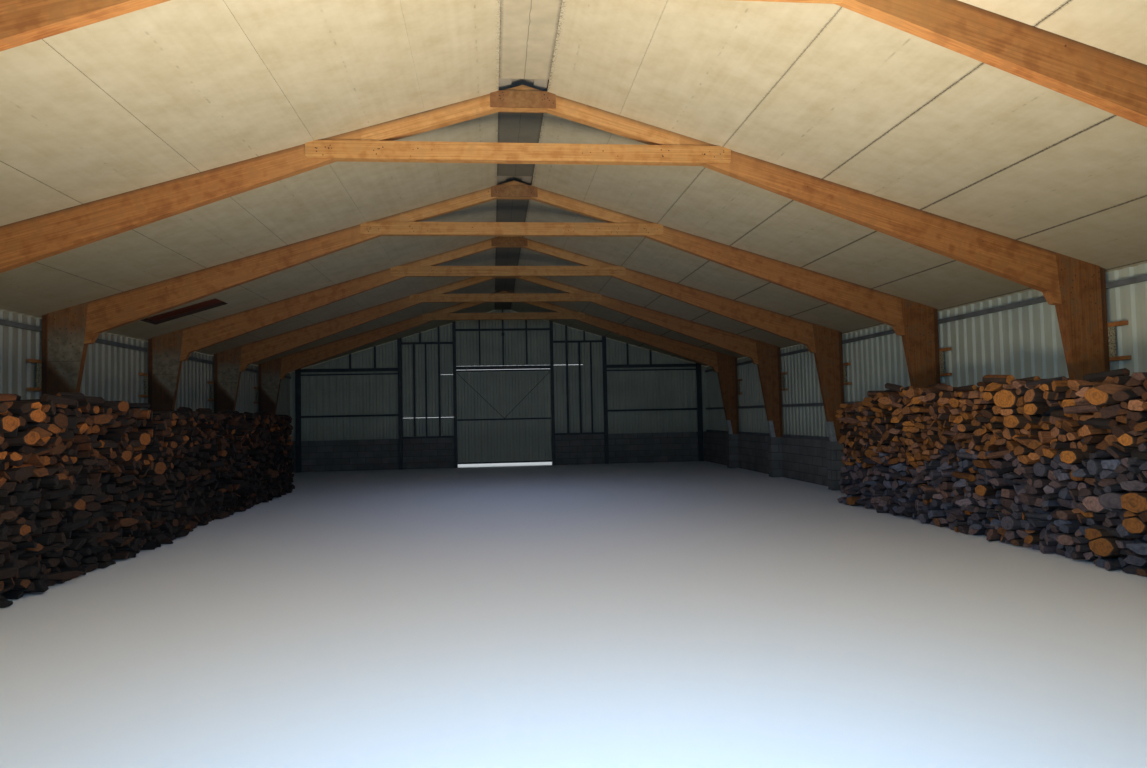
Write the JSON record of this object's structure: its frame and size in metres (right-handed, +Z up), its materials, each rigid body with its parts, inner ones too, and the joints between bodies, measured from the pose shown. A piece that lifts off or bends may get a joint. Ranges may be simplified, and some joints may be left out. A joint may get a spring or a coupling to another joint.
{
  "type": "timber portal-frame log store barn",
  "caption": "Long timber portal-frame barn with insulated roof, ribbed steel cladding on block walls, a sliding rear door and firewood stacked along both sides",
  "frame": {"origin": "on the floor, in the middle of the plan", "axes": "+X across the barn to the right as seen from the front doorway, +Y along the barn from the front doorway to the rear door, +Z up"},
  "size_m": [13.9222, 24.41, 5.2683],
  "materials": {
    "glued_timber": "planed, honey brown",
    "weathered_timber": "planed, nailed and weathered",
    "collar_timber": "planed, lighter brown",
    "galvanised_steel": "dull galvanised",
    "concrete_block": "matt bare concrete block",
    "wall_sheet": "coated ribbed steel, grey green",
    "dark_steel": "dark primer",
    "roof_board": "fibrous insulation board, cream",
    "roof_sheet": "coated ribbed steel, red brown",
    "ridge_grey": "grey board",
    "firewood": "rough split logs"
  },
  "bodies": {
    "barn": {"portal_0_legs": "weathered_timber", "portal_0_rafters": "glued_timber", "portal_0_ridge": "glued_timber", "portal_0_collar": "collar_timber", "portal_1_legs": "weathered_timber", "portal_1_rafters": "glued_timber", "portal_1_ridge": "glued_timber", "portal_1_collar": "collar_timber", "portal_2_legs": "weathered_timber", "portal_2_rafters": "glued_timber", "portal_2_ridge": "glued_timber", "portal_2_collar": "collar_timber", "portal_3_legs": "weathered_timber", "portal_3_rafters": "glued_timber", "portal_3_ridge": "glued_timber", "portal_3_collar": "collar_timber", "portal_4_legs": "weathered_timber", "portal_4_rafters": "glued_timber", "portal_4_ridge": "glued_timber", "portal_4_collar": "collar_timber", "portal_5_legs": "weathered_timber", "portal_5_rafters": "glued_timber", "portal_5_ridge": "glued_timber", "portal_5_collar": "collar_timber", "leg_shoes": "galvanised_steel", "left_dwarf_wall": "concrete_block", "left_wall_sheets": "wall_sheet", "left_wall_rails": "dark_steel", "left_roof_boards": "roof_board", "left_roof_sheets": "roof_sheet", "left_log_stack": "firewood", "right_dwarf_wall": "concrete_block", "right_wall_sheets": "wall_sheet", "right_wall_rails": "dark_steel", "right_roof_boards": "roof_board", "right_roof_sheets": "roof_sheet", "right_log_stack": "firewood", "ridge_strip": "ridge_grey", "ridge_cap": "roof_sheet", "rear_gable_posts": "dark_steel", "rear_gable_rails": "dark_steel", "rear_gable_studs": "dark_steel", "rear_dwarf_walls": "concrete_block", "rear_gable_sheets": "wall_sheet", "front_gable_posts": "dark_steel", "front_gable_rails": "dark_steel", "front_gable_studs": "dark_steel", "front_dwarf_walls": "concrete_block", "front_gable_sheets": "wall_sheet", "door_track": "dark_steel"},
    "sliding_door": {"door_frame": "dark_steel", "door_sheets": "wall_sheet", "door_hangers": "dark_steel"}
  },
  "joints": [
    {"name": "door_slide", "type": "slide", "parent": "barn", "child": "sliding_door", "axis": [-1, 0, 0], "range_m": [0, 3.1]}
  ]
}
